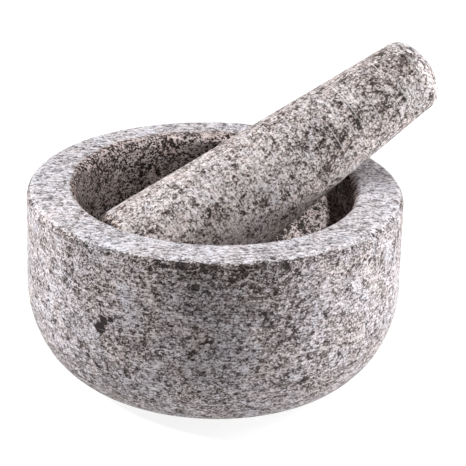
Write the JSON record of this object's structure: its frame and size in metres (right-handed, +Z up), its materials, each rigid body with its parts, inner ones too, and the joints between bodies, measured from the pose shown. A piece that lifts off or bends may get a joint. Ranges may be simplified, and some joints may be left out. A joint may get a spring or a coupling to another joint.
{
  "type": "mortar and pestle",
  "caption": "Thick-walled speckled grey granite mortar with a flat rim and a rounded bowl, and a tapered granite pestle leaning in it.",
  "frame": {"origin": "centre of the mortar's flat base, on the surface it stands on", "axes": "+Z up along the mortar's axis of revolution; +X towards the end of the pestle's handle in plan; the X-Z plane is the plane of symmetry"},
  "size_m": [0.1815, 0.16, 0.138],
  "materials": {
    "mortar_granite": "turned grey granite, matt, with dark mica and pale feldspar grains; rim ground smoother and paler",
    "pestle_granite": "turned grey granite, matt, slightly paler and warmer than the mortar"
  },
  "bodies": {
    "mortar": {"mortar": "mortar_granite"},
    "pestle": {"pestle": "pestle_granite"}
  },
  "joints": [
    {"name": "pestle_lift", "type": "slide", "parent": "mortar", "child": "pestle", "axis": [0, 0, 1], "range_m": [0, 0.12]}
  ]
}
